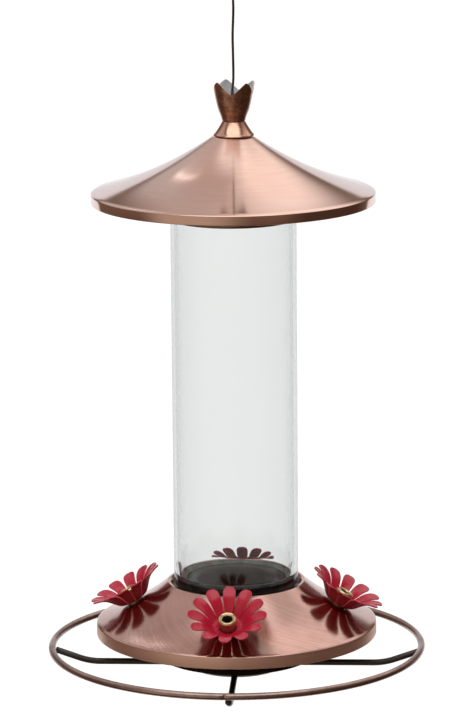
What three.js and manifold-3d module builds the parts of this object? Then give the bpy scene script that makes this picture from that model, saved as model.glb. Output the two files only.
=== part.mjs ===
// Hanging nectar feeder: a glass reservoir under a brushed copper roof, screwed into a copper base
// with four feeding ports, each in a painted metal flower, and a wire perch ring around them.
//
// Units are millimetres and +Z is up. The origin is under the middle of the base, level with the
// lowest point. The feeding ports lie on the X and Y axes, and the perch spokes 3 degrees past them.
import * as THREE from 'three';
import { mergeVertices } from 'three/addons/utils/BufferGeometryUtils.js';
import Module from 'manifold-3d';

const wasm = await Module();
wasm.setup();

// ---- Driving dimensions -------------------------------------------------------------------

const GAP = 0.3;                  // clearance between neighbouring pieces
const SHEET = 0.9;                // sheet metal of the roof, the cover and the tray
const PORT_COUNT = 4;

const PERCH_RADIUS = 82;          // perch ring, to the middle of its wire
const PERCH_WIRE = 3.1;           // wire diameter
const PERCH_Z = 9.4;              // middle of the ring's wire
const SPOKE_WIRE = 2.8;
const SPOKE_Z = SPOKE_WIRE / 2;   // the spokes run level under the tray
const SPOKE_BEND_RADIUS = 65.6;   // where a spoke turns up to the ring
const SPOKE_TURN = THREE.MathUtils.degToRad(3);   // the perch sits slightly turned from the ports

const COVER_RADIUS = 62;
const COVER_RIM_Z = PERCH_Z + 6.2;
const COVER_RIM_HEIGHT = 5.2;
const COVER_HOLE_RADIUS = 28.4;
const COVER_CREST_Z = PERCH_Z + 30;

const TRAY_FLOOR_RADIUS = 35;
const TRAY_Z = PERCH_Z - 4.4;
const TRAY_LIP_RADIUS = 60.8;
const TRAY_LIP_Z = COVER_RIM_Z + 3;

const GLASS_RADIUS = 27.5;
const GLASS_WALL = 2.8;
const GLASS_SHOULDER_Z = PERCH_Z + 28.6;
const GLASS_TOP_Z = PERCH_Z + 206;
const NECK_RADIUS = 19.6;
const NECK_WALL = 2.8;
const NECK_END_Z = PERCH_Z + 7;

const THREAD_PITCH = 4;
const THREAD_TURNS = 2;
const THREAD_DEPTH = 1.3;
const COLLAR_WALL = 2;

const ROOF_RADIUS = 62;
const ROOF_RIM_Z = PERCH_Z + 199.7;
const ROOF_APEX_Z = PERCH_Z + 228.5;
const ROOF_FLAT_RADIUS = 8.8;      // the roof is level inside this radius, under the finial

const FINIAL_Z = ROOF_APEX_Z;      // foot of the finial's cone
const CONE_RADIUS = 8.9;
const FINIAL_NECK_Z = PERCH_Z + 235;
const CROWN_TIP_Z = PERCH_Z + 252.6;
const CROWN_VALLEY_Z = PERCH_Z + 247;
const CROWN_TIP_RADIUS = 9;

const EYE_Z = PERCH_Z + 238.9;     // middle of the stud's eye, inside the crown
const EYE_RADIUS = 2.3;
const EYE_WIRE = 1.6;
const LINK_RADIUS = 2.6;
const LINK_WIRE = 1.2;
const HANGER_WIRE = 1.1;
const HANGER_BOW = 0.5;           // how far the shank bows to +X just above the crown
const HANGER_LOOP_RADIUS = 2.4;
const HOOK_RADIUS = 11;
const HOOK_Z = PERCH_Z + 312;      // middle of the hook's bend
const LINK_PLAY = 0.2;             // clearance where one wire ring hangs in the next

const PORT_RADIUS = 45.2;          // where a port's axis meets the cover
const PORT_TILT = THREE.MathUtils.degToRad(29.4);
const PORT_TUBE_RADIUS = 3.6;
const PORT_BORE_RADIUS = 2.15;
const PORT_RIM_RADIUS = 4.05;
const PORT_TIP = 6.6;              // heights along the port's axis, from the cover's surface
const PORT_FOOT = -5;
const PETAL_COUNT = 12;
const FLOWER_RADIUS = 17.5;
const FLOWER_HEIGHT = 8.7;
const FLOWER_FOOT = 0.7;
const PETAL_HALF_WIDTH = 3.05;
const FLOWER_DISC_RADIUS = 6.3;    // the slots between the petals end here

// ---- Materials ----------------------------------------------------------------------------

function metal(color, roughness) {
  return new THREE.MeshStandardMaterial({ color, roughness, metalness: 1 });
}

const copper = metal(0xc98d76, 0.34);
const darkCopper = metal(0x7c5040, 0.42);
const wireCopper = metal(0x8f7a72, 0.38);
const darkSteel = metal(0x2c2622, 0.5);
const zinc = metal(0x9aa0a2, 0.45);
const brass = metal(0xd8c489, 0.3);
const redPaint = new THREE.MeshStandardMaterial({ color: 0xa5192b, roughness: 0.35, metalness: 0 });
const rubber = new THREE.MeshStandardMaterial({ color: 0x1d1d1d, roughness: 0.8, metalness: 0 });
const glass = new THREE.MeshStandardMaterial({
  color: 0xe8ecec, roughness: 0.03, metalness: 0, transparent: true, opacity: 0.3,
});

// ---- Solids -------------------------------------------------------------------------------

// Joins the shared corners of a geometry, drops its zero-width faces and turns its faces outwards.
function weld(geometry) {
  const bare = new THREE.BufferGeometry();
  bare.setAttribute('position', geometry.getAttribute('position'));
  if (geometry.index) bare.setIndex(geometry.index);
  const merged = mergeVertices(bare, 1e-4);
  const corner = merged.index.array;
  const kept = [];
  for (let i = 0; i < corner.length; i += 3) {
    const [a, b, c] = [corner[i], corner[i + 1], corner[i + 2]];
    if (a !== b && b !== c && c !== a) kept.push(a, b, c);
  }
  if (signedVolume(merged.getAttribute('position'), kept) < 0) kept.reverse();
  merged.setIndex(kept);
  return merged;
}

function signedVolume(position, corner) {
  const [a, b, c] = [new THREE.Vector3(), new THREE.Vector3(), new THREE.Vector3()];
  let volume = 0;
  for (let i = 0; i < corner.length; i += 3) {
    a.fromBufferAttribute(position, corner[i]);
    b.fromBufferAttribute(position, corner[i + 1]);
    c.fromBufferAttribute(position, corner[i + 2]);
    volume += a.dot(b.cross(c)) / 6;
  }
  return volume;
}

function toManifold(geometry) {
  const welded = weld(geometry);
  const vertProperties = new Float32Array(welded.getAttribute('position').array);
  const triVerts = new Uint32Array(welded.index.array);
  return new wasm.Manifold(new wasm.Mesh({ numProp: 3, vertProperties, triVerts }));
}

function toGeometry(manifold) {
  const mesh = manifold.getMesh();
  const geometry = new THREE.BufferGeometry();
  geometry.setAttribute('position', new THREE.BufferAttribute(mesh.vertProperties, 3));
  geometry.setIndex(new THREE.BufferAttribute(mesh.triVerts, 1));
  return geometry;
}

function join(first, ...others) {
  return toGeometry(others.reduce((sum, other) => sum.add(toManifold(other)), toManifold(first)));
}

function cut(first, ...others) {
  return toGeometry(others.reduce((rest, other) => rest.subtract(toManifold(other)), toManifold(first)));
}

function common(first, second) {
  return toGeometry(toManifold(first).intersect(toManifold(second)));
}

// Turns a closed outline of [radius, height] pairs about the Z axis.
function turned(outline, segments = 36) {
  const points = [...outline, outline[0]].map(([radius, height]) => new THREE.Vector2(radius, height));
  return weld(new THREE.LatheGeometry(points, segments).rotateX(Math.PI / 2));
}

// The closed outline of a shell: its outer line, then the same line moved by its thickness.
function shellOutline(outer, thickness) {
  const inner = outer.map((point, i) => {
    const before = outer[Math.max(i - 1, 0)];
    const after = outer[Math.min(i + 1, outer.length - 1)];
    const along = new THREE.Vector2(after[0] - before[0], after[1] - before[1]).normalize();
    return [point[0] - along.y * thickness, point[1] + along.x * thickness];
  });
  return [...outer, ...inner.reverse()];
}

// Points along a curve through [radius, height] pairs, bent towards the middle one.
function curvePoints(start, control, end, steps) {
  const [a, b, c] = [start, control, end].map((pair) => new THREE.Vector2(...pair));
  const curve = new THREE.QuadraticBezierCurve(a, b, c);
  return curve.getPoints(steps).map((point) => [point.x, point.y]);
}

function cylinder(radius, bottom, top, segments = 24) {
  return turned([[0, bottom], [radius, bottom], [radius, top], [0, top]], segments);
}

// A tube along a list of points, with one step from each point to the next.
class PointPath extends THREE.Curve {
  constructor(points) {
    super();
    this.points = points;
  }

  getUtoTmapping(u) {
    return u;
  }

  getPoint(t, target = new THREE.Vector3()) {
    const place = t * (this.points.length - 1);
    const index = Math.min(Math.floor(place), this.points.length - 2);
    return target.lerpVectors(this.points[index], this.points[index + 1], place - index);
  }
}

function circleShape(radius, sides) {
  const corner = (_, i) => {
    const angle = (i / sides) * 2 * Math.PI;
    return new THREE.Vector2(radius * Math.cos(angle), radius * Math.sin(angle));
  };
  return new THREE.Shape(Array.from({ length: sides }, corner));
}

function wire(points, diameter, sides = 8) {
  const steps = points.length - 1;
  const options = { steps, extrudePath: new PointPath(points) };
  return weld(new THREE.ExtrudeGeometry(circleShape(diameter / 2, sides), options));
}

// An arc in the XZ plane. Angles are in degrees from +X towards +Z.
function arcPoints(x, z, radius, from, to, steps) {
  return Array.from({ length: steps + 1 }, (_, i) => {
    const angle = THREE.MathUtils.degToRad(from + ((to - from) * i) / steps);
    return new THREE.Vector3(x + radius * Math.cos(angle), 0, z + radius * Math.sin(angle));
  });
}

// A ridge that climbs round a cylinder: one side of a screw thread.
function threadRidge(rootRadius, crestRadius, bottom, turns, phase) {
  const sink = Math.sign(rootRadius - crestRadius) * 0.6;
  const [rootHalf, crestHalf] = [0.95, 0.45];
  const stepsPerTurn = 16;
  const steps = turns * stepsPerTurn;
  const corners = [
    [rootRadius + sink, -rootHalf], [crestRadius, -crestHalf],
    [crestRadius, crestHalf], [rootRadius + sink, rootHalf],
  ];
  const position = [];
  for (let i = 0; i <= steps; i += 1) {
    const angle = phase + (i / stepsPerTurn) * 2 * Math.PI;
    const height = bottom + (i / stepsPerTurn) * THREAD_PITCH;
    for (const [radius, offset] of corners) {
      position.push(radius * Math.cos(angle), radius * Math.sin(angle), height + offset);
    }
  }
  const index = [0, 1, 2, 0, 2, 3];
  const last = steps * 4;
  index.push(last, last + 2, last + 1, last, last + 3, last + 2);
  for (let i = 0; i < steps; i += 1) {
    for (let side = 0; side < 4; side += 1) {
      const [a, b] = [i * 4 + side, i * 4 + ((side + 1) % 4)];
      index.push(a, a + 4, b, b, a + 4, b + 4);
    }
  }
  const geometry = new THREE.BufferGeometry();
  geometry.setAttribute('position', new THREE.BufferAttribute(new Float32Array(position), 3));
  geometry.setIndex(index);
  return weld(geometry);
}

// ---- Hanger and finial --------------------------------------------------------------------

const LINK_Z = EYE_Z + EYE_RADIUS - (EYE_WIRE + LINK_WIRE) / 2 - LINK_PLAY + LINK_RADIUS;
const HANGER_LOOP_Z = LINK_Z + LINK_RADIUS - (LINK_WIRE + HANGER_WIRE) / 2 - LINK_PLAY + HANGER_LOOP_RADIUS;

// The stiff hanging wire: a closed-up loop at its foot, square to the open hook on top.
function hangerWire() {
  const loop = arcPoints(0, HANGER_LOOP_Z, HANGER_LOOP_RADIUS, 65, -240, 16);
  loop.forEach((point) => point.applyAxisAngle(new THREE.Vector3(0, 0, 1), Math.PI / 2));
  const shankFoot = new THREE.Vector3(HANGER_BOW, 0, HANGER_LOOP_Z + HANGER_LOOP_RADIUS + 4);
  const shankMiddle = new THREE.Vector3(HANGER_BOW / 2, 0, CROWN_TIP_Z + 24);
  const hookFoot = new THREE.Vector3(0, 0, HOOK_Z - HOOK_RADIUS - 9);
  const hook = arcPoints(0, HOOK_Z, HOOK_RADIUS, 222, -40, 18);
  const tip = new THREE.Vector3(HOOK_RADIUS * 1.05, 0, HOOK_Z - HOOK_RADIUS * 0.95);
  return wire([...loop, shankFoot, shankMiddle, hookFoot, ...hook, tip], HANGER_WIRE);
}

function hangerLink() {
  const ring = new THREE.TorusGeometry(LINK_RADIUS, LINK_WIRE / 2, 8, 16);
  return weld(ring.rotateX(Math.PI / 2).translate(0, 0, LINK_Z));
}

const STUD_RADIUS = 1.9;
const CAP_ROOF_Z = GLASS_TOP_Z + 3.2;    // top of the metal cap over the glass
const CAP_LIP_Z = ROOF_RIM_Z - 7.1;      // its lower edge just shows under the roof

// The stud that ties the crown, the cone, the roof and the cap together. Its top is an eye.
function eyeStud() {
  const eye = new THREE.TorusGeometry(EYE_RADIUS, EYE_WIRE / 2, 8, 16);
  eye.rotateY(Math.PI / 2).translate(0, 0, EYE_Z);
  const top = EYE_Z - EYE_RADIUS - EYE_WIRE / 4;
  const shank = cylinder(STUD_RADIUS, CAP_ROOF_Z + GAP, top, 12);
  return join(shank, eye);
}

// A tulip cup with four pointed petals. The valleys between them lie on the X and Y axes.
function finialCrown() {
  const height = CROWN_TIP_Z - FINIAL_NECK_Z;
  const outer = [
    [5.25, FINIAL_NECK_Z + GAP], [6.15, FINIAL_NECK_Z + 2.2], [7.35, FINIAL_NECK_Z + 6],
    [8.4, FINIAL_NECK_Z + 11], [8.85, FINIAL_NECK_Z + 14.4], [CROWN_TIP_RADIUS, FINIAL_NECK_Z + height],
  ];
  const wall = shellOutline(outer, 0.7);
  const floorHole = STUD_RADIUS + GAP;
  const floor = turned([
    [floorHole, FINIAL_NECK_Z + GAP], [5, FINIAL_NECK_Z + GAP],
    [5, FINIAL_NECK_Z + 1.1], [floorHole, FINIAL_NECK_Z + 1.1],
  ], 12);
  const valleyDepth = CROWN_TIP_Z - CROWN_VALLEY_Z;
  const notches = [0, 1, 2, 3].map((i) => {
    const half = 6.1;
    const notch = new THREE.Shape([
      new THREE.Vector2(-half, valleyDepth + 1), new THREE.Vector2(-half * 0.45, valleyDepth * 0.36),
      new THREE.Vector2(-0.8, 0), new THREE.Vector2(0.8, 0),
      new THREE.Vector2(half * 0.45, valleyDepth * 0.36), new THREE.Vector2(half, valleyDepth + 1),
    ]);
    const solid = new THREE.ExtrudeGeometry(notch, { depth: 14, bevelEnabled: false });
    return solid.rotateX(Math.PI / 2).translate(0, 0, CROWN_VALLEY_Z).rotateZ((i * Math.PI) / 2);
  });
  return cut(join(turned(wall, 24), floor), ...notches);
}

function finialCone() {
  const foot = FINIAL_Z + GAP;
  const top = FINIAL_NECK_Z;
  const outer = [[CONE_RADIUS, foot], [CONE_RADIUS, foot + 0.5], [5.4, top]];
  const shell = shellOutline(outer, 0.8);
  const floorHole = STUD_RADIUS + GAP;
  const floor = turned([[floorHole, top - 0.8], [5, top - 0.8], [5, top], [floorHole, top]], 12);
  return join(turned(shell, 24), floor);
}

// ---- Roof and the top of the reservoir ----------------------------------------------------

function roof() {
  const slope = curvePoints(
    [61, ROOF_RIM_Z + 4.65], [32.5, ROOF_RIM_Z + 12.3], [ROOF_FLAT_RADIUS, ROOF_APEX_Z], 5,
  );
  const rim = [[ROOF_RADIUS, ROOF_RIM_Z], [ROOF_RADIUS, ROOF_RIM_Z + 4.1]];
  const top = [[STUD_RADIUS + GAP, ROOF_APEX_Z]];
  return turned(shellOutline([...rim, ...slope, ...top], SHEET));
}

// A tube spacer holds the roof's peak above the cap.
function roofSpacer() {
  const bore = STUD_RADIUS + GAP;
  const bottom = CAP_ROOF_Z + GAP + 2.6;
  const top = ROOF_APEX_Z - SHEET - GAP;
  return turned([[bore, bottom], [4, bottom], [4, top], [bore, top]], 16);
}

function hexagonRing(acrossFlats, bore, bottom, height) {
  const hexagon = circleShape(acrossFlats / 2 / Math.cos(Math.PI / 6), 6);
  const body = new THREE.ExtrudeGeometry(hexagon, { depth: height, bevelEnabled: false });
  return cut(body.translate(0, 0, bottom), cylinder(bore, bottom - 1, bottom + height + 1, 16));
}

function studNut() {
  return hexagonRing(8, STUD_RADIUS + 0.15, CAP_ROOF_Z + GAP, 2.3);
}

// A deep metal cap over the closed end of the glass.
function topCap() {
  const outerRadius = GLASS_RADIUS + GAP + 0.8;
  const outer = [
    [outerRadius, CAP_LIP_Z], [outerRadius, CAP_ROOF_Z - 1.5], [outerRadius - 1.5, CAP_ROOF_Z],
    [3, CAP_ROOF_Z],
  ];
  const inner = [
    [3, CAP_ROOF_Z - 0.8], [outerRadius - 1.8, CAP_ROOF_Z - 0.8],
    [outerRadius - 0.8, CAP_ROOF_Z - 1.8], [outerRadius - 0.8, CAP_LIP_Z],
  ];
  return turned([...outer, ...inner]);
}

function topPad() {
  const bottom = GLASS_TOP_Z + GAP;
  const top = CAP_ROOF_Z - 0.8 - GAP;
  return cylinder(22, bottom, top, 24);
}

// ---- Reservoir ----------------------------------------------------------------------------

const NECK_BORE = NECK_RADIUS - NECK_WALL;
const THREAD_BOTTOM = NECK_END_Z + 3.4;

// A bottle upside down: closed at the top, narrowed at the bottom to a screw neck.
function glassReservoir() {
  const inner = GLASS_RADIUS - GLASS_WALL;
  const shoulder = GLASS_SHOULDER_Z;
  const outside = [
    [NECK_RADIUS, NECK_END_Z], [NECK_RADIUS, shoulder - 1], [NECK_RADIUS + 1, shoulder],
    [GLASS_RADIUS - 2.6, shoulder], [GLASS_RADIUS - 0.8, shoulder + 0.8], [GLASS_RADIUS, shoulder + 2.6],
    [GLASS_RADIUS, GLASS_TOP_Z - 3], [GLASS_RADIUS - 0.9, GLASS_TOP_Z - 0.9], [GLASS_RADIUS - 3, GLASS_TOP_Z],
    [0, GLASS_TOP_Z],
  ];
  const inside = [
    [0, GLASS_TOP_Z - 4], [inner - 2, GLASS_TOP_Z - 4], [inner, GLASS_TOP_Z - 6],
    [inner, shoulder + 7], [inner - 2.4, shoulder + 4.4], [NECK_BORE, shoulder + 3.2],
    [NECK_BORE, NECK_END_Z],
  ];
  const ridge = threadRidge(NECK_RADIUS, NECK_RADIUS + THREAD_DEPTH, THREAD_BOTTOM, THREAD_TURNS, 0);
  return join(turned([...outside, ...inside]), ridge);
}

// ---- Base ---------------------------------------------------------------------------------

const COLLAR_BORE = NECK_RADIUS + THREAD_DEPTH + 0.4;
const COLLAR_TOP_Z = GLASS_SHOULDER_Z - 1.8;

function baseGasket() {
  const bottom = COLLAR_TOP_Z + 0.2;
  const top = GLASS_SHOULDER_Z - 0.2;
  return turned([[NECK_RADIUS + 1.6, bottom], [26, bottom], [26, top], [NECK_RADIUS + 1.6, top]], 32);
}

// The screwed collar: a flange for the gasket and a tube with an inner thread.
function baseCollar() {
  const flangeRadius = COVER_HOLE_RADIUS + 2;
  const outside = [
    [COLLAR_BORE, NECK_END_Z + 1], [COLLAR_BORE + COLLAR_WALL, NECK_END_Z + 1],
    [COLLAR_BORE + COLLAR_WALL, COLLAR_TOP_Z - 1.2], [flangeRadius, COLLAR_TOP_Z - 1.2],
    [flangeRadius, COLLAR_TOP_Z], [COLLAR_BORE, COLLAR_TOP_Z],
  ];
  const halfPitch = THREAD_PITCH / 2;
  const root = COLLAR_BORE;
  const ridge = threadRidge(root, root - THREAD_DEPTH, THREAD_BOTTOM + halfPitch, THREAD_TURNS, 0);
  return join(turned(outside), ridge);
}

function portPlacement(index) {
  const turn = new THREE.Matrix4().makeRotationZ((index * 2 * Math.PI) / PORT_COUNT);
  const move = new THREE.Matrix4().makeTranslation(PORT_RADIUS, 0, coverHeight(PORT_RADIUS));
  const tilt = new THREE.Matrix4().makeRotationY(PORT_TILT);
  return turn.multiply(move).multiply(tilt);
}

const COVER_SLOPE = [
  [COVER_RADIUS - 0.9, COVER_RIM_Z + COVER_RIM_HEIGHT + 0.6],
  [44.4, PERCH_Z + 17.9],
  [COVER_HOLE_RADIUS + 1.9, COVER_CREST_Z],
];

// Height of the cover's outer surface at a radius.
function coverHeight(radius) {
  const points = curvePoints(...COVER_SLOPE, 200);
  const outside = points.findIndex(([r]) => r <= radius);
  return points[outside][1];
}

function baseCover() {
  const rim = [[COVER_RADIUS, COVER_RIM_Z], [COVER_RADIUS, COVER_RIM_Z + COVER_RIM_HEIGHT]];
  const slope = curvePoints(...COVER_SLOPE, 5);
  const lip = [
    [COVER_HOLE_RADIUS + 0.9, COVER_CREST_Z], [COVER_HOLE_RADIUS, COVER_CREST_Z - 1],
    [COVER_HOLE_RADIUS, COLLAR_TOP_Z + GAP],
  ];
  const outline = shellOutline([...rim, ...slope, ...lip], SHEET);
  const holes = [0, 1, 2, 3].map((i) => {
    return cylinder(PORT_TUBE_RADIUS + GAP, -6, 6, 12).applyMatrix4(portPlacement(i));
  });
  return cut(turned(outline), ...holes);
}

// The shallow pan that closes the base from below and holds the nectar.
function nectarTray() {
  const outer = [
    [0, TRAY_Z], [TRAY_FLOOR_RADIUS - 1.4, TRAY_Z], [TRAY_FLOOR_RADIUS, TRAY_Z + 0.8],
    [TRAY_LIP_RADIUS - 1.2, COVER_RIM_Z + 0.3], [TRAY_LIP_RADIUS, COVER_RIM_Z + 1.2],
    [TRAY_LIP_RADIUS, TRAY_LIP_Z],
  ];
  const inner = [
    [TRAY_LIP_RADIUS - 1, TRAY_LIP_Z], [TRAY_LIP_RADIUS - 1, COVER_RIM_Z + 1.9],
    [TRAY_LIP_RADIUS - 1.8, COVER_RIM_Z + 1.3], [TRAY_FLOOR_RADIUS - 0.6, TRAY_Z + 1.7],
    [TRAY_FLOOR_RADIUS - 1.8, TRAY_Z + 1], [0, TRAY_Z + 1],
  ];
  return turned([...outer, ...inner]);
}

// ---- Ports and flowers, along +Z from the cover's surface ----------------------------------

function port() {
  return turned([
    [PORT_BORE_RADIUS, PORT_FOOT], [PORT_TUBE_RADIUS, PORT_FOOT], [PORT_TUBE_RADIUS, PORT_TIP - 1.3],
    [PORT_RIM_RADIUS, PORT_TIP - 1.1], [PORT_RIM_RADIUS, PORT_TIP - 0.4], [PORT_RIM_RADIUS - 0.5, PORT_TIP],
    [PORT_BORE_RADIUS + 0.4, PORT_TIP], [PORT_BORE_RADIUS, PORT_TIP - 0.4],
  ], 16);
}

function portNut() {
  return hexagonRing(10, PORT_TUBE_RADIUS + 0.15, -SHEET - 0.5 - 2.2, 2.2);
}

// One cup of bent sheet, cut from a star of twelve round-ended petals.
function flower() {
  const hole = PORT_TUBE_RADIUS + GAP;
  const rise = (share) => FLOWER_FOOT + FLOWER_HEIGHT * share;
  const under = [
    [hole - 1, FLOWER_FOOT], [5.8, FLOWER_FOOT], [8, rise(0.24)], [11.2, rise(0.68)],
    [FLOWER_RADIUS + 0.4, rise(1)],
  ];
  const flatSided = ([radius, height]) => [radius / Math.cos(Math.PI / PETAL_COUNT), height];
  const cup = turned(shellOutline(under, 0.8).map(flatSided), PETAL_COUNT);
  cup.rotateZ(Math.PI / PETAL_COUNT);
  const star = new THREE.Shape(petalOutline());
  const column = new THREE.ExtrudeGeometry(star, { depth: 16, bevelEnabled: false });
  return cut(common(cup, column.translate(0, 0, -2)), cylinder(hole, -2, 3, 16));
}

function petalOutline() {
  const points = [];
  const tipCentre = FLOWER_RADIUS - PETAL_HALF_WIDTH;
  const step = (2 * Math.PI) / PETAL_COUNT;
  for (let i = 0; i < PETAL_COUNT; i += 1) {
    const axis = i * step;
    const valley = axis - step / 2;
    points.push(new THREE.Vector2(Math.cos(valley), Math.sin(valley)).multiplyScalar(FLOWER_DISC_RADIUS));
    for (let turn = -90; turn <= 90; turn += 60) {
      const angle = THREE.MathUtils.degToRad(turn);
      const x = tipCentre + PETAL_HALF_WIDTH * Math.cos(angle);
      const y = PETAL_HALF_WIDTH * Math.sin(angle);
      points.push(new THREE.Vector2(x, y).rotateAround(new THREE.Vector2(), axis));
    }
  }
  return points;
}

// ---- Perch --------------------------------------------------------------------------------

function perchRing() {
  const ring = new THREE.TorusGeometry(PERCH_RADIUS, PERCH_WIRE / 2, 8, 56);
  return weld(ring.translate(0, 0, PERCH_Z));
}

const HUB_RADIUS = 21.3;

// A spoke runs level from the hub, bends up and ends under the inside of the ring.
function spoke() {
  const start = new THREE.Vector3(HUB_RADIUS + GAP, 0, SPOKE_Z);
  const end = new THREE.Vector3(PERCH_RADIUS - 2.2, 0, PERCH_Z - 2.6);
  const bend = new THREE.Vector3(SPOKE_BEND_RADIUS, 0, SPOKE_Z);
  const before = bend.clone().lerp(start, 5 / bend.distanceTo(start));
  const after = bend.clone().lerp(end, 5 / bend.distanceTo(end));
  const turn = new THREE.QuadraticBezierCurve3(before, bend, after).getPoints(4);
  return wire([start, ...turn, end], SPOKE_WIRE);
}

// The stamped plate that the spokes are brazed to. Its flat underside is level with the spokes.
function perchHub() {
  const top = TRAY_Z - GAP;
  const outline = [[0, 0], [HUB_RADIUS - 1.2, 0], [HUB_RADIUS, 1], [HUB_RADIUS, 2.8], [16, top], [0, top]];
  return turned(outline, 24);
}

// ---- Assembly -----------------------------------------------------------------------------

const feeder = new THREE.Group();

function place(name, geometry, material, matrix = new THREE.Matrix4()) {
  const mesh = new THREE.Mesh(geometry, material);
  mesh.name = name;
  mesh.applyMatrix4(matrix);
  feeder.add(mesh);
}

place('hanger_wire', hangerWire(), darkSteel);
place('hanger_link', hangerLink(), darkSteel);
place('eye_stud', eyeStud(), zinc);
place('finial_crown', finialCrown(), darkCopper);
place('finial_cone', finialCone(), copper);
place('roof', roof(), copper);
place('roof_spacer', roofSpacer(), zinc);
place('stud_nut', studNut(), zinc);
place('top_cap', topCap(), darkCopper);
place('top_pad', topPad(), rubber);
place('glass_reservoir', glassReservoir(), glass);
place('base_gasket', baseGasket(), rubber);
place('base_collar', baseCollar(), zinc);
place('base_cover', baseCover(), copper);
place('nectar_tray', nectarTray(), darkCopper);

for (let i = 0; i < PORT_COUNT; i += 1) {
  place(`port_${i + 1}`, port(), brass, portPlacement(i));
  place(`port_nut_${i + 1}`, portNut(), zinc, portPlacement(i));
  place(`flower_${i + 1}`, flower(), redPaint, portPlacement(i));
}

place('perch_ring', perchRing(), wireCopper);
place('perch_hub', perchHub(), darkSteel);

for (let i = 0; i < PORT_COUNT; i += 1) {
  const turn = new THREE.Matrix4().makeRotationZ((i * 2 * Math.PI) / PORT_COUNT + SPOKE_TURN);
  place(`spoke_${i + 1}`, spoke(), darkSteel, turn);
}

export default feeder;
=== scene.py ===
"""Looks of the hanging nectar feeder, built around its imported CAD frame. Metres, +Z up."""

import math

import bmesh
import bpy
from mathutils import Matrix, Vector


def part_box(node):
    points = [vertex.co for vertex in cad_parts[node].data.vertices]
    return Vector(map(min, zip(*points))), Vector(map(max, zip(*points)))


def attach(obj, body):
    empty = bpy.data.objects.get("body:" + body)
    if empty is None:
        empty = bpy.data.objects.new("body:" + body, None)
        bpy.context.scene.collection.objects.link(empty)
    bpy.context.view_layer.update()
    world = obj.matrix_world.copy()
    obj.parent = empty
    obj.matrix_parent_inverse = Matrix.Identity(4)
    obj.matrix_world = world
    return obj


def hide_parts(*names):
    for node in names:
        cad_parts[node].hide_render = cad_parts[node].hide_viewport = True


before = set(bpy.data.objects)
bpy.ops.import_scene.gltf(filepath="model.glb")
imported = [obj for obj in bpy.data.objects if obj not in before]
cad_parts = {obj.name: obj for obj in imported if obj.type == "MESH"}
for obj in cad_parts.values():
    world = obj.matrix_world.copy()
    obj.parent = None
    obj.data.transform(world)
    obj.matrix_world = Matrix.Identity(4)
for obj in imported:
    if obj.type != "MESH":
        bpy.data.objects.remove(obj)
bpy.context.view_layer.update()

MM = 0.001
SHEET = 0.9 * MM      # thickness of the copper sheet
CAP_SHEET = 0.8 * MM  # thickness of the cap over the glass
STUD_HOLE = 2.2 * MM  # radius of the holes that the stud passes through
TURN = 2 * math.pi


# ---- Shapes -----------------------------------------------------------------------------------

def polar(radius, angle, height):
    return (radius * math.cos(angle), radius * math.sin(angle), height)


def curve(start, control, end, steps):
    """Points of a quadratic curve through [radius, height] pairs."""
    points = []
    for i in range(steps + 1):
        t = i / steps
        weights = ((1 - t) ** 2, 2 * t * (1 - t), t * t)
        points.append(tuple(sum(w * p[k] for w, p in zip(weights, (start, control, end)))
                            for k in (0, 1)))
    return points


def smooth_line(points, steps):
    """A Catmull-Rom line through points of any dimension."""
    padded = [points[0], *points, points[-1]]
    line = []
    for i in range(1, len(padded) - 2):
        a, b, c, d = (Vector(p) for p in padded[i - 1:i + 3])
        for k in range(steps):
            t = k / steps
            line.append(tuple(0.5 * (2 * b + (c - a) * t + (2 * a - 5 * b + 4 * c - d) * t * t
                                     + (3 * b - a - 3 * c + d) * t ** 3)))
    line.append(tuple(points[-1]))
    return line


def shell(outer, thickness):
    """A closed outline: the outer line, then the same line moved inwards by the thickness."""
    inner = []
    for i, point in enumerate(outer):
        before, after = outer[max(i - 1, 0)], outer[min(i + 1, len(outer) - 1)]
        along = Vector((after[0] - before[0], after[1] - before[1])).normalized()
        inner.append((point[0] - along.y * thickness, point[1] + along.x * thickness))
    return [*outer, *reversed(inner)]


def rounded(outline, radius, steps=3, sharpest=25):
    """Rounds every corner of a closed outline that turns by more than the sharpest angle."""
    result = []
    count = len(outline)
    for i, corner in enumerate(outline):
        here = Vector(corner)
        back = Vector(outline[i - 1]) - here
        ahead = Vector(outline[(i + 1) % count]) - here
        on_axis = here.x < 1e-6
        if on_axis or back.length < 1e-7 or ahead.length < 1e-7:
            result.append(tuple(corner))
            continue
        turn = math.pi - back.angle(ahead)
        if turn < math.radians(sharpest):
            result.append(tuple(corner))
            continue
        reach = min(radius * math.tan(turn / 2), 0.45 * back.length, 0.45 * ahead.length)
        start = here + back.normalized() * reach
        end = here + ahead.normalized() * reach
        result += curve(start, here, end, steps)
    return result


def lathe(outline, segments=144):
    """Vertices and faces of a closed outline turned about Z. The outline may depend on the angle.

    Each face comes with the number of the outline point where its strip starts."""
    vertices, rows = [], []
    sample = outline(0.0) if callable(outline) else outline
    for point in sample:
        if not callable(outline) and point[0] < 1e-6:
            rows.append([len(vertices)] * segments)
            vertices.append((0.0, 0.0, point[1]))
            continue
        rows.append([])
        for k in range(segments):
            rows[-1].append(len(vertices))
            vertices.append(None)
    for k in range(segments):
        angle = TURN * k / segments
        line = outline(angle) if callable(outline) else outline
        for row, (radius, height) in zip(rows, line):
            if vertices[row[k]] is None:
                vertices[row[k]] = polar(radius, angle, height)
    faces = []
    for index, row in enumerate(rows):
        above = rows[(index + 1) % len(rows)]
        for k in range(segments):
            n = (k + 1) % segments
            face = list(dict.fromkeys((row[k], row[n], above[n], above[k])))
            if len(face) > 2:
                faces.append((face, index))
    return vertices, faces


BEVEL = 0.12   # width of the bevel round a bar's end, as a share of its radius


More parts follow.
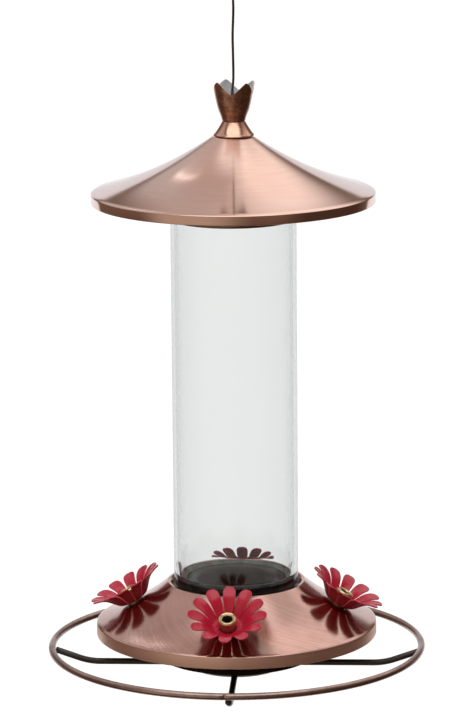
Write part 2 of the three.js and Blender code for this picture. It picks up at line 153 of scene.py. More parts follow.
def sweep(points, radius, sides=16, closed=False):
    """A round bar along points, with bevelled ends unless it is closed."""
    line = [Vector(p) for p in points]
    radii = [radius] * len(line)
    if not closed:
        first = (line[0] - line[1]).normalized()
        last = (line[-1] - line[-2]).normalized()
        back = BEVEL * radius
        line = [line[0], line[0] - first * back, *line[1:-1], line[-1] - last * back, line[-1]]
        radii = [(1 - BEVEL) * radius, *radii, (1 - BEVEL) * radius]
    count = len(line)
    tangents = []
    for i in range(count):
        before = line[i - 1] if closed or i else line[i]
        after = line[(i + 1) % count] if closed or i < count - 1 else line[i]
        tangents.append((after - before).normalized())
    side = tangents[0].orthogonal().normalized()
    vertices, faces = [], []
    for i, (point, tangent) in enumerate(zip(line, tangents)):
        side = (side - tangent * side.dot(tangent)).normalized()
        up = tangent.cross(side)
        for k in range(sides):
            angle = TURN * k / sides
            vertices.append(tuple(point + radii[i] * (math.cos(angle) * side
                                                      + math.sin(angle) * up)))
    for i in range(count if closed else count - 1):
        here, there = i * sides, ((i + 1) % count) * sides
        for k in range(sides):
            n = (k + 1) % sides
            faces.append(([here + k, here + n, there + n, there + k], 0))
    if not closed:
        faces.append(([*reversed(range(sides))], 0))
        faces.append(([*range((count - 1) * sides, count * sides)], 0))
    return vertices, faces


def piece(name, shape, materials, body, nodes, smooth=38, strips=None, place=None):
    """Makes the mesh, turns its faces outwards, and declares what it rides on and stands for.

    smooth is the sharpest angle in degrees that is shaded smooth, and strips gives the material's
    number from the number that came with a face."""
    vertices, faces = shape
    mesh = bpy.data.meshes.new(name)
    mesh.from_pydata(vertices, [], [face for face, _ in faces])
    for material in materials:
        mesh.materials.append(material)
    if strips:
        for polygon, (_, strip) in zip(mesh.polygons, faces):
            polygon.material_index = strips(strip)
    sheet = bmesh.new()
    sheet.from_mesh(mesh)
    bmesh.ops.recalc_face_normals(sheet, faces=sheet.faces)
    sheet.to_mesh(mesh)
    sheet.free()
    if place is not None:
        mesh.transform(place)
    mesh.polygons.foreach_set("use_smooth", [True] * len(mesh.polygons))
    mesh.set_sharp_from_angle(angle=math.radians(smooth))
    made = bpy.data.objects.new(name, mesh)
    bpy.context.scene.collection.objects.link(made)
    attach(made, body)
    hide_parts(*nodes)
    return made


# ---- Shader nodes -----------------------------------------------------------------------------

def add(tree, kind, inputs=None, **settings):
    """Adds a shader node, with its settings and its inputs as values or as sockets to link."""
    node = tree.nodes.new("ShaderNode" + kind)
    for key, value in settings.items():
        setattr(node, key, value)
    for key, value in (inputs or {}).items():
        if isinstance(value, bpy.types.NodeSocket):
            tree.links.new(value, node.inputs[key])
        else:
            node.inputs[key].default_value = value
    return node


def calc(tree, operation, first, second=0.0):
    return add(tree, "Math", {0: first, 1: second}, operation=operation).outputs[0]


def between(tree, value, low, high, soft_low, soft_high):
    """1 where the value lies between low and high, with soft ends."""
    rise = add(tree, "MapRange", {"Value": value, "From Min": low - soft_low,
                                  "From Max": low + soft_low}, interpolation_type="SMOOTHSTEP")
    fall = add(tree, "MapRange", {"Value": value, "From Min": high - soft_high,
                                  "From Max": high + soft_high, "To Min": 1.0, "To Max": 0.0},
               interpolation_type="SMOOTHSTEP")
    return calc(tree, "MULTIPLY", rise.outputs[0], fall.outputs[0])


def mix(tree, factor, first, second):
    node = add(tree, "Mix", {"Factor": factor}, data_type="RGBA")
    for socket, value in ((node.inputs[6], first), (node.inputs[7], second)):
        if isinstance(value, bpy.types.NodeSocket):
            tree.links.new(value, socket)
        else:
            socket.default_value = (*value, 1.0)
    return node.outputs[2]


def noise(tree, vector, scale, detail=3.0, roughness=0.5):
    return add(tree, "TexNoise", {"Vector": vector, "Scale": scale, "Detail": detail,
                                  "Roughness": roughness}).outputs[0]


def spread(tree, value, low, high, to_low, to_high):
    return add(tree, "MapRange", {"Value": value, "From Min": low, "From Max": high,
                                  "To Min": to_low, "To Max": to_high}).outputs[0]


def new_material(name):
    material = bpy.data.materials.new(name)
    material.use_nodes = True
    tree = material.node_tree
    shader = tree.nodes["Principled BSDF"]
    return material, tree, shader


def connect(tree, value, shader, name):
    tree.links.new(value, shader.inputs[name])


def object_place(tree):
    return add(tree, "TexCoord").outputs["Object"]


def turned_place(tree, spiral):
    """Radius, height and a direction round the Z axis that winds outwards by the spiral share."""
    place = add(tree, "SeparateXYZ", {0: object_place(tree)})
    x, y, z = place.outputs
    radius = calc(tree, "SQRT", calc(tree, "ADD", calc(tree, "MULTIPLY", x, x),
                                     calc(tree, "MULTIPLY", y, y)))
    angle = calc(tree, "ARCTAN2", y, x)
    if spiral:
        winding = calc(tree, "MULTIPLY", calc(tree, "LOGARITHM", radius, math.e), spiral)
        angle = calc(tree, "SUBTRACT", angle, winding)
    return radius, z, angle


def brushed_metal(name, colours, roughness, spiral=0.0, line=0.3, depth=0.4, turn=0.25,
                  anisotropy=0.6, patina=0.5, coat=0.0, dull_top=0.0):
    """Metal brushed round the Z axis, or along spirals that wind outwards.

    colours are the brushed metal and the metal where the coating is darker, line is the width of
    a brush line in millimetres and depth the strength of the relief. turn is the direction of the
    stretched highlight, as a share of a whole turn, patina the share of the darker colour, and
    dull_top the roughness added near the axis."""
    material, tree, shader = new_material(name)
    radius, height, angle = turned_place(tree, spiral)
    cosine, sine = calc(tree, "COSINE", angle), calc(tree, "SINE", angle)
    if spiral:
        lines_round = 0.05 / MM / line
        across = add(tree, "CombineXYZ", {0: calc(tree, "MULTIPLY", cosine, lines_round),
                                          1: calc(tree, "MULTIPLY", sine, lines_round),
                                          2: calc(tree, "MULTIPLY", radius, 60.0)})
        fine = noise(tree, across.outputs[0], 1.0, 3.0, 0.6)
    else:
        around = add(tree, "CombineXYZ", {0: calc(tree, "MULTIPLY", cosine, 2.2),
                                          1: calc(tree, "MULTIPLY", sine, 2.2),
                                          2: calc(tree, "MULTIPLY", calc(tree, "ADD", height,
                                                  calc(tree, "MULTIPLY", radius, 0.83)),
                                                  1 / MM / line)})
        fine = noise(tree, around.outputs[0], 1.0, 3.0, 0.6)
    blotch = noise(tree, object_place(tree), 45.0, 4.0, 0.55)
    grain = noise(tree, object_place(tree), 900.0, 2.0, 0.5)
    share = calc(tree, "ADD", calc(tree, "MULTIPLY", fine, 0.55),
                 calc(tree, "MULTIPLY", blotch, 0.45))
    dark = spread(tree, share, 0.42, 0.66, 0.0, patina)
    connect(tree, mix(tree, dark, *colours), shader, "Base Color")
    even = spread(tree, calc(tree, "ADD", blotch, calc(tree, "MULTIPLY", fine, 0.5)),
                  0.5, 1.0, roughness * 0.85, roughness * 1.25)
    duller = spread(tree, radius, 9 * MM, 36 * MM, dull_top, 0.0)
    connect(tree, calc(tree, "ADD", even, duller), shader, "Roughness")
    relief = calc(tree, "ADD", fine, calc(tree, "MULTIPLY", grain, 0.15))
    bump = add(tree, "Bump", {"Strength": depth, "Distance": 0.02 * MM, "Height": relief})
    connect(tree, bump.outputs[0], shader, "Normal")
    shader.inputs["Metallic"].default_value = 1.0
    shader.inputs["Anisotropic"].default_value = anisotropy
    shader.inputs["Anisotropic Rotation"].default_value = turn
    shader.inputs["Coat Weight"].default_value = coat
    shader.inputs["Coat Roughness"].default_value = 0.1
    if anisotropy:
        tangent = add(tree, "Tangent", direction_type="RADIAL", axis="Z")
        connect(tree, tangent.outputs[0], shader, "Tangent")
    return material


def plain_surface(name, colours, roughness, metallic, scale=400.0, depth=0.25, coat=0.0,
                  blotch_scale=60.0, specular=0.5):
    """An even surface with fine grain and slow patches: paint, plating, rubber or turned metal."""
    material, tree, shader = new_material(name)
    place = object_place(tree)
    patch = noise(tree, place, blotch_scale, 4.0, 0.6)
    grain = noise(tree, place, scale, 3.0, 0.55)
    share = spread(tree, calc(tree, "ADD", calc(tree, "MULTIPLY", patch, 0.7),
                              calc(tree, "MULTIPLY", grain, 0.3)), 0.4, 0.65, 0.0, 1.0)
    connect(tree, mix(tree, share, *colours), shader, "Base Color")
    connect(tree, spread(tree, patch, 0.35, 0.65, roughness * 0.85, roughness * 1.2),
            shader, "Roughness")
    bump = add(tree, "Bump", {"Strength": depth, "Distance": 0.05 * MM, "Height": grain})
    connect(tree, bump.outputs[0], shader, "Normal")
    shader.inputs["Metallic"].default_value = metallic
    shader.inputs["Coat Weight"].default_value = coat
    shader.inputs["Coat Roughness"].default_value = 0.12
    shader.inputs["Specular IOR Level"].default_value = specular
    return material


def clear_glass(name):
    material, tree, shader = new_material(name)
    ripple = noise(tree, object_place(tree), 28.0, 2.0, 0.4)
    bump = add(tree, "Bump", {"Strength": 0.03, "Distance": 0.1 * MM, "Height": ripple})
    connect(tree, bump.outputs[0], shader, "Normal")
    smear = noise(tree, object_place(tree), 90.0, 4.0, 0.6)
    connect(tree, spread(tree, smear, 0.4, 0.8, 0.0, 0.008), shader, "Roughness")
    shader.inputs["Base Color"].default_value = (0.99, 1.0, 1.0, 1.0)
    shader.inputs["Transmission Weight"].default_value = 1.0
    shader.inputs["IOR"].default_value = 1.5
    inside = add(tree, "VolumeAbsorption", {"Color": (0.86, 0.88, 0.885, 1.0), "Density": 330.0})
    tree.links.new(inside.outputs[0], tree.nodes["Material Output"].inputs["Volume"])
    return material


COPPER = brushed_metal("copper_roof", ((0.93, 0.63, 0.53), (0.80, 0.49, 0.39)), 0.11,
                       line=0.3, depth=0.06, anisotropy=0.25, patina=0.45, coat=0.8,
                       dull_top=0.16)
COVER_COPPER = brushed_metal("copper_cover", ((0.75, 0.47, 0.40), (0.46, 0.255, 0.21)), 0.14,
                             spiral=1.43, line=0.32, depth=0.6, anisotropy=0.3, turn=0.355,
                             patina=0.8, coat=0.2)
# A rougher finish for the cover's rim band, with a colour brighter than the cover's copper: painted
# light.
RIM_COPPER_LIT = brushed_metal("copper_rim_painted_light", ((1.0, 0.68, 0.55), (0.84, 0.52, 0.41)), 0.42,
                           line=0.3, depth=0.3, anisotropy=0.3)
CONE_COPPER = brushed_metal("copper_cone", ((0.88, 0.54, 0.41), (0.62, 0.33, 0.22)), 0.15,
                            line=0.3, depth=0.3, anisotropy=0.3)
DARK_COPPER = plain_surface("dark_copper", ((0.72, 0.42, 0.29), (0.31, 0.14, 0.085)), 0.24, 1.0,
                            scale=1500.0, depth=0.5, coat=0.4, blotch_scale=420.0)
# Near-black and without any reflection: painted shade for the tray under the base.
TRAY_PAINTED_SHADE = plain_surface("tray_painted_shade", ((0.030, 0.018, 0.013), (0.016, 0.010, 0.008)), 0.6,
                            0.0, scale=800.0, specular=0.0)
# Dark bronze: painted shade for the cap where it sits under the roof.
CAP_PAINTED_SHADE = brushed_metal("cap_copper_painted_shade", ((0.30, 0.21, 0.12), (0.17, 0.11, 0.06)), 0.32,
                           line=0.4, depth=0.4, anisotropy=0.4)
PERCH_COPPER = plain_surface("perch_copper", ((0.54, 0.40, 0.36), (0.35, 0.25, 0.22)), 0.27, 1.0)
BLACK_STEEL = plain_surface("black_steel", ((0.035, 0.028, 0.024), (0.06, 0.045, 0.035)), 0.4,
                            0.0, coat=0.3)
ZINC = plain_surface("zinc", ((0.62, 0.66, 0.68), (0.40, 0.44, 0.46)), 0.42, 1.0, scale=700.0,
                     blotch_scale=260.0)
PALE_ZINC = plain_surface("pale_zinc", ((0.93, 0.97, 1.0), (0.68, 0.74, 0.78)), 0.45, 0.0,
                          scale=900.0, blotch_scale=300.0)
BRASS = plain_surface("brass", ((0.86, 0.74, 0.44), (0.62, 0.48, 0.24)), 0.22, 1.0, scale=900.0)
# Darker brass for the tube's barrel below its rim.
BARREL_BRASS = plain_surface("barrel_brass", ((0.42, 0.30, 0.20), (0.25, 0.17, 0.12)), 0.35, 1.0,
                           scale=900.0)
RED_PAINT = plain_surface("red_paint", ((0.84, 0.016, 0.075), (0.72, 0.011, 0.055)), 0.28, 0.0,
                          scale=700.0, depth=0.2, coat=0.3)
# A darker copy of the red paint: painted shade for the petals' undersides.
PETAL_BACK_SHADE = plain_surface("petal_back_painted_shade", ((0.46, 0.018, 0.036), (0.32, 0.013, 0.026)), 0.4, 0.0,
                           scale=700.0, depth=0.2)
# Bright pink-red on the petals' edges: painted highlight.
PETAL_RIM_HIGHLIGHT = plain_surface("petal_rim_painted_highlight", ((0.95, 0.13, 0.20), (0.88, 0.06, 0.12)), 0.25, 0.0,
                          scale=700.0, depth=0.2, coat=0.5)
RUBBER = plain_surface("rubber", ((0.02, 0.02, 0.02), (0.03, 0.03, 0.028)), 0.7, 0.0)
SEAT_RUBBER = plain_surface("seat_rubber", ((0.62, 0.67, 0.63), (0.24, 0.28, 0.26)), 0.4,
                            0.0, blotch_scale=160.0, specular=0.3)
# Dark brown for the glass faces that drop into the neck: painted shade of the dark inside seen down
# the neck.
THROAT_PAINTED_SHADE = plain_surface("throat_painted_shade", ((0.17, 0.130, 0.105), (0.080, 0.060, 0.048)), 0.5, 0.0,
                       specular=0.2)
GLASS = clear_glass("glass")


# ---- Roof, cap and glass ----------------------------------------------------------------------

def roof():
    low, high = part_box("roof")
    edge, rim = high.x, low.z
    slope = curve((edge - 1.0 * MM, rim + 4.65 * MM), (32.5 * MM, rim + 12.3 * MM),
                  (8.8 * MM, high.z), 40)
    outer = [(edge, rim), (edge, rim + 4.1 * MM), *slope, (5 * MM, high.z), (STUD_HOLE, high.z)]
    piece("roof_sheet", lathe(rounded(shell(outer, SHEET), 0.3 * MM), 192), [COPPER], "reservoir",
          ["roof"], smooth=50)


def top_cap():
    low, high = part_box("top_cap")
    outer = [(high.x, low.z), (high.x, high.z - 1.5 * MM), (high.x - 1.5 * MM, high.z),
             (3 * MM, high.z)]
    # The cap takes the dark bronze painted shade.
    piece("top_cap_shell", lathe(rounded(shell(outer, CAP_SHEET), 0.35 * MM), 128), [CAP_PAINTED_SHADE],
          "reservoir", ["top_cap"], smooth=50)


GLASS_WALL = 2.8 * MM
NECK_RADIUS = 19.6 * MM
THROAT_RADIUS = 22.2 * MM   # where the reservoir's floor drops into its neck
THREAD_PITCH = 4 * MM
THREAD_TURNS = 2


def glass():
    """The bottle, clear but for the faces round its foot: those under it and on its seat show what
    they rest on, and those dropping into the neck carry painted shade of the dark inside below.
    """
    low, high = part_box("glass_reservoir")
    top, end, radius = high.z, low.z, high.x
    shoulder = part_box("base_gasket")[1].z + 0.2 * MM
    neck = NECK_RADIUS
    inner, bore = radius - GLASS_WALL, neck - GLASS_WALL
    outline = [
        (neck, end), (neck, shoulder), (radius - 1 * MM, shoulder), (radius, shoulder + 1 * MM),
        (radius, top), (0, top),
        (0, top - 4 * MM), (inner, top - 4 * MM), (inner, shoulder + 4.8 * MM),
        (THROAT_RADIUS, shoulder + 2.8 * MM), (bore, shoulder + 2.6 * MM), (bore, end),
    ]
    outline = rounded(outline, 2.2 * MM, 6)
    dark = []
    for r, z in outline:
        under = neck - 0.1 * MM < r < radius - 1.5 * MM and z < shoulder + 0.1 * MM
        # Faces that drop into the neck get the painted shade.
        throat_painted_shade = r < THROAT_RADIUS + 0.2 * MM and z < shoulder + 3.2 * MM and not under
        seat = not throat_painted_shade and r < inner and shoulder + MM < z < shoulder + 4.2 * MM
        dark.append(2 if throat_painted_shade else int(under or seat))
    vertices, faces = lathe(outline, 160)
    ridge, steps = [], 40
    for i in range(THREAD_TURNS * steps + 1):
        height = end + 3.4 * MM + THREAD_PITCH * i / steps
        ridge.append(polar(neck + 0.35 * MM, TURN * i / steps, height))
    more, bands = sweep(ridge, 0.8 * MM, 10)
    start = len(vertices)
    vertices += more
    faces += [([start + v for v in face], 0) for face, _ in bands]
    piece("glass_bottle", (vertices, faces), [GLASS, SEAT_RUBBER, THROAT_PAINTED_SHADE], "reservoir",
          ["glass_reservoir"], smooth=60, strips=lambda strip: dark[strip])


# ---- Finial and hanger ------------------------------------------------------------------------

CROWN_TIPS = [  # angle from +X in degrees, height and extra radius of each petal, in millimetres
    (-138.0, 0.0, 0.0), (-45.0, -0.3, 0.0), (33.0, -0.6, 1.0), (117.0, -0.4, -0.2),
]
OFF_CENTRE = Matrix.Translation((0.5 * MM, 0, 0))   # crown and cone stand a little off the axis


def crown_edge(angle, tip, valley):
    """Height and extra radius of the crown's scalloped edge at an angle."""
    degrees = math.degrees(angle) % 360
    tips = sorted((t[0] % 360, *t[1:]) for t in CROWN_TIPS)
    after = next((t for t in tips if t[0] >= degrees), (tips[0][0] + 360, *tips[0][1:]))
    before = max((t for t in [*tips, (tips[-1][0] - 360, *tips[-1][1:])] if t[0] < degrees),
                 default=(tips[-1][0] - 360, *tips[-1][1:]))
    share = (degrees - before[0]) / (after[0] - before[0])
    wave = 0.5 + 0.5 * math.cos(TURN * share)
    nearest = before if share < 0.5 else after
    lift = 0.55 * abs(1 - 2 * share) + 0.45 * wave
    return valley + (tip + nearest[1] * MM - valley) * lift, nearest[2] * MM * wave ** 1.5


def finial_crown():
    low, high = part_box("finial_crown")
    foot, tip = low.z, high.z
    valley = tip - 5.4 * MM
    profile = smooth_line([(5.05, 0), (5.6, 1.8), (7.05, 5.8), (8.15, 11), (8.7, 14.2),
                           (8.95, 17.4)], 8)

    def radius_at(height):
        for (r0, z0), (r1, z1) in zip(profile, profile[1:]):
            if height <= z1 * MM or (r1, z1) == profile[-1]:
                share = (height - z0 * MM) / max((z1 - z0) * MM, 1e-9)
                return (r0 + (r1 - r0) * share) * MM
        return 9 * MM

    steps, wall = 22, 0.7 * MM

    def outline(angle):
        edge, flare = crown_edge(angle, tip, valley)
        outer, inner = [], []
        for i in range(steps + 1):
            t = i / steps
            height = (edge - foot) * t
            out = radius_at(height) + flare * t * t
            outer.append((out, foot + height))
            inner.append((out - wall, max(foot + height, foot + 0.9 * MM) - 0.05 * MM * t))
        rim = (0.5 * (outer[-1][0] + inner[-1][0]), edge + 0.02 * MM)
        return [*outer, rim, *reversed(inner), (STUD_HOLE, foot + 0.9 * MM), (STUD_HOLE, foot)]

    piece("finial_tulip", lathe(outline, 160), [DARK_COPPER, PALE_ZINC], "reservoir",
          ["finial_crown"], smooth=45, strips=lambda strip: int(strip > steps),
          place=OFF_CENTRE)


def finial_cone():
    low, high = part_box("finial_cone")
    foot, top, wide = low.z, high.z, high.x
    outer = [(wide - 0.3 * MM, foot), (wide, foot + 0.25 * MM), (wide - 0.1 * MM, foot + 0.6 * MM),
             *curve((wide - 0.5 * MM, foot + 0.9 * MM), (6.7 * MM, foot + 3.0 * MM),
                    (5.0 * MM, top), 12)]
    inner = [(4.6 * MM, top), (STUD_HOLE, top), (STUD_HOLE, top - 0.8 * MM),
             (4.1 * MM, top - 0.8 * MM), (wide - 1.1 * MM, foot + 0.1 * MM)]
    piece("finial_foot", lathe([*outer, *inner], 128), [CONE_COPPER], "reservoir", ["finial_cone"],
          smooth=45, place=OFF_CENTRE)


def hanger():
    low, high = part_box("hanger_link")
    thick = 1.2 * MM
    radius = (high.x - low.x - thick) / 2
    centre = (high.z + low.z) / 2
    ring = [(radius * math.cos(TURN * i / 32), 0, centre + radius * math.sin(TURN * i / 32))
            for i in range(32)]
    piece("link_ring", sweep(ring, thick / 2, 14, closed=True), [BLACK_STEEL], "link",
          ["hanger_link"], smooth=60)

    low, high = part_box("hanger_wire")
    thick = 1.1 * MM
    loop_radius, hook_radius = 2.4 * MM, 11 * MM
    loop_z = low.z + loop_radius + thick / 2
    hook_z = high.z - hook_radius - thick / 2

    def arc(z, r, start, end, steps):
        angles = [math.radians(start + (end - start) * i / steps) for i in range(steps + 1)]
        return [(r * math.cos(a), 0, z + r * math.sin(a)) for a in angles]

    loop = [(0, x, z) for x, _, z in arc(loop_z, loop_radius, 65, -240, 40)]
    hook = arc(hook_z, hook_radius, 222, -40, 48)
    shank = smooth_line([
        loop[-1], (0.35 * MM, 0, loop_z + loop_radius + 3.6 * MM),
        (0.5 * MM, 0, loop_z + 11 * MM), (0.3 * MM, 0, loop_z + 25 * MM),
        (0, 0, hook_z - hook_radius - 9 * MM), hook[0],
    ], 8)
    tip = (hook_radius * 1.04, 0, hook_z - hook_radius * 0.92)
    path = [*loop[:-1], *shank, *hook[1:], tip]
    piece("hanging_wire", sweep(path, thick / 2, 14), [BLACK_STEEL], "hanger", ["hanger_wire"],
          smooth=60)


# ---- Base -------------------------------------------------------------------------------------

def base_cover():
    low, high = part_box("base_cover")
    edge, rim, crest = high.x, low.z, high.z
    collar_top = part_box("base_collar")[1].z + 0.3 * MM
    slope = curve((edge - 0.9 * MM, rim + 5.8 * MM), (44.4 * MM, crest - 12.1 * MM),
                  (30.3 * MM, crest), 40)
    outer = [(edge, rim), (edge, rim + 5.2 * MM), *slope, (29.2 * MM, crest),
             (28.4 * MM, crest - 0.9 * MM), (28.4 * MM, collar_top)]
    outline = rounded(shell(outer, SHEET), 0.3 * MM)
    # The rim band takes the brighter copper, painted light.
    piece("cover_sheet", lathe(outline, 192), [COVER_COPPER, RIM_COPPER_LIT], "base", ["base_cover"],
          smooth=50, strips=lambda strip: int(outline[strip][1] < rim + 4.6 * MM))


def nectar_tray():
    low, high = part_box("nectar_tray")
    floor, lip, top = low.z, high.x, high.z
    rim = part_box("base_cover")[0].z
    outline = [
        (0, floor), (33.8 * MM, floor), (35 * MM, floor + 0.8 * MM),
        (lip - 1.2 * MM, rim + 0.3 * MM), (lip, rim + 1.2 * MM), (lip, top), (lip - MM, top),
        (lip - MM, rim + 1.9 * MM), (lip - 1.8 * MM, rim + 1.3 * MM),
        (34.4 * MM, floor + 1.7 * MM), (33.2 * MM, floor + MM), (0, floor + MM),
    ]
    # The pan takes the near-black painted shade.
    piece("tray_pan", lathe(rounded(outline, 1.0 * MM, 4, 12), 160), [TRAY_PAINTED_SHADE], "base",
          ["nectar_tray"], smooth=50)


def gasket():
    low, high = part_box("base_gasket")
    hole = 21.2 * MM
    outline = [(hole, low.z), (high.x, low.z), (high.x, high.z), (hole, high.z)]
    piece("gasket_ring", lathe(rounded(outline, 0.3 * MM), 96), [RUBBER], "gasket",
          ["base_gasket"], smooth=50)


# ---- Ports and flowers ------------------------------------------------------------------------

PORTS = 4
PORT_TILT = math.radians(29.4)
PORT_FOOT, PORT_TIP = -5 * MM, 6.6 * MM
PETALS = 12


def port_place(index):
    """Where a port stands: its local Z runs out along the port's axis."""
    low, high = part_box(f"port_nut_{index + 1}")
    axis = Matrix.Rotation(TURN * index / PORTS, 4, "Z") @ Matrix.Rotation(PORT_TILT, 4, "Y")
    centre = (low + high) / 2
    return Matrix.Translation(centre + axis @ Vector((0, 0, 2.5 * MM))) @ axis


def port_shape():
    bore, tube, rim = 2.15 * MM, 3.6 * MM, 4.05 * MM
    outline = [
        (bore, PORT_FOOT), (tube, PORT_FOOT), (tube, PORT_TIP - 1.35 * MM),
        (rim - 0.12 * MM, PORT_TIP - 1.2 * MM), (rim, PORT_TIP - 0.85 * MM),
        (rim - 0.05 * MM, PORT_TIP - 0.45 * MM), (rim - 0.35 * MM, PORT_TIP - 0.12 * MM),
        (rim - 0.72 * MM, PORT_TIP - 0.3 * MM), (rim - 0.95 * MM, PORT_TIP - 0.12 * MM),
        (bore + 0.5 * MM, PORT_TIP), (bore + 0.15 * MM, PORT_TIP - 0.2 * MM),
        (bore, PORT_TIP - 0.7 * MM),
    ]
    return lathe(outline, 64)


def flower_shape():
    """The petals round one disc, as the sheet's middle surface; Solidify gives it thickness.

    Lengths are in millimetres until the last step."""
    heights = smooth_line([(3.9, 1.0), (5.6, 1.05), (6.9, 1.75), (8.3, 3.3), (10.0, 5.35),
                           (11.6, 6.9), (13.4, 7.9), (15.6, 8.75), (17.4, 9.25)], 4)

    def height_at(radius):
        for (r0, z0), (r1, z1) in zip(heights, heights[1:]):
            if radius <= r1:
                return z0 + (z1 - z0) * (radius - r0) / (r1 - r0)
        return heights[-1][1]

    across = (-1.0, -0.8, -0.4, 0.0, 0.4, 0.8, 1.0)
    disc, widest, end = 6.3, 14.3, 17.15   # where a petal starts, is widest and ends
    narrow_half, wide_half = 1.50, 2.85
    along = [disc, 7.2, 8.3, 9.6, 11.0, 12.5, 13.8, 14.9, 15.8, 16.5, 16.95, end]
    vertices, faces = [], []
    columns = len(across) - 1
    total = PETALS * columns
    for radius in (3.7, 5.1):
        for k in range(total):
            angle = TURN * (k - columns / 2) / total
            vertices.append(polar(radius, angle, height_at(radius)))

    def ring(row, k):
        return row * total + k % total

    for k in range(total):
        faces.append([ring(0, k), ring(0, k + 1), ring(1, k + 1), ring(1, k)])
    root = []
    for petal in range(PETALS):
        turn = TURN * petal / PETALS
        rows = []
        for radius in along:
            if radius <= widest:
                share = (radius - disc) / (widest - disc)
                half = narrow_half + (wide_half - narrow_half) * math.sin(share * math.pi / 2)
            else:
                share = (radius - widest) / (end - widest + 0.12)
                half = wide_half * math.sqrt(1 - share ** 2)
            row = []
            for u in across:
                x, y = radius, u * half
                cup = 0.32 * abs(u) ** 3 * min((radius - disc) / 4, 1) * (half / wide_half) ** 2
                x -= 0.10 * cup
                lift = height_at(min(math.hypot(x, y), 17.4)) + cup
                row.append(len(vertices))
                vertices.append(polar(math.hypot(x, y), turn + math.atan2(y, x), lift))
            rows.append(row)
        root.append(rows[0])
        for low, high in zip(rows, rows[1:]):
            for k in range(columns):
                faces.append([low[k], low[k + 1], high[k + 1], high[k]])
    for petal in range(PETALS):
        for k in range(columns):
            inner = petal * columns + k
            faces.append([ring(1, inner), ring(1, inner + 1), root[petal][k + 1], root[petal][k]])
    for petal in range(PETALS):
        nearby = root[(petal + 1) % PETALS]
        corner = ring(1, (petal + 1) * columns)
        faces.append([corner, nearby[0], root[petal][-1]])
    scaled = [tuple(MM * c for c in v) for v in vertices]
    return scaled, [(face, 0) for face in faces]


def flowers():
    for index in range(PORTS):
        number = index + 1
        place = port_place(index)
        vertices, faces = port_shape()
        # The bore's wall takes the black rubber: painted shade inside the hole.
        wall, bore = 1, faces[-1][1]
        piece(f"port_tube_{number}", (vertices, faces), [BRASS, BARREL_BRASS, RUBBER], "base",
              [f"port_{number}"], smooth=50, place=place,
              strips=lambda strip: {wall: 1, bore: 2}.get(strip, 0))
        made = piece(f"flower_petals_{number}", flower_shape(), [RED_PAINT, PETAL_BACK_SHADE, PETAL_RIM_HIGHLIGHT],
                     "base", [f"flower_{number}"], smooth=180, place=place)
        thick = made.modifiers.new("sheet", "SOLIDIFY")
        thick.thickness = 0.7 * MM
        thick.offset = 0
        # The sheet's underside takes the darker red, painted shade.
        thick.material_offset = 1
        # The sheet's edges take the bright red painted highlight.
        thick.material_offset_rim = 2
        finer = made.modifiers.new("smooth", "SUBSURF")
        finer.levels = finer.render_levels = 2


# ---- Perch ------------------------------------------------------------------------------------

SPOKES = 4
SPOKE_RADIUS = 1.4 * MM
PERCH_TURN = math.radians(2)   # the perch sits slightly turned from the ports


def perch():
    low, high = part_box("perch_ring")
    radius, thick, height = (high.x - low.x) / 2, high.z - low.z, (high.z + low.z) / 2
    middle = radius - thick / 2
    seam, gap = math.radians(-89.2), 0.02 * MM / middle
    steps = 180
    line = [polar(middle, seam + gap + (TURN - 2 * gap) * i / steps, height)
            for i in range(steps + 1)]
    piece("perch_wire", sweep(line, thick / 2, 20), [PERCH_COPPER], "base", ["perch_ring"],
          smooth=60)

    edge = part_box("perch_hub")[1]
    outline = [(0, 0), (edge.x - 1.2 * MM, 0), (edge.x, MM), (edge.x, 2.8 * MM),
               (16 * MM, edge.z), (0, edge.z)]
    piece("hub_plate", lathe(rounded(outline, 0.6 * MM), 96), [BLACK_STEEL], "base",
          ["perch_hub"], smooth=50)

    start = Vector((21.6 * MM, 0, SPOKE_RADIUS))
    bend = Vector((65.6 * MM, 0, SPOKE_RADIUS))
    end = Vector((middle - 1.2 * MM, 0, height - 2.72 * MM))
    before = bend.lerp(start, 5 * MM / (bend - start).length)
    after = bend.lerp(end, 5 * MM / (bend - end).length)
    path, bend_steps = [start, before.lerp(start, 0.6)], 8
    for i in range(bend_steps + 1):
        t = i / bend_steps
        path.append((1 - t) ** 2 * before + 2 * t * (1 - t) * bend + t * t * after)
    path.append(end)
    for index in range(SPOKES):
        place = Matrix.Rotation(TURN * index / SPOKES + PERCH_TURN, 4, "Z")
        piece(f"spoke_wire_{index + 1}", sweep(path, SPOKE_RADIUS, 18), [BLACK_STEEL], "base",
              [f"spoke_{index + 1}"], smooth=60, place=place)


# ---- Studio -----------------------------------------------------------------------------------

VIEW_TURN = math.radians(4.7)   # how far the camera stands round from straight in front


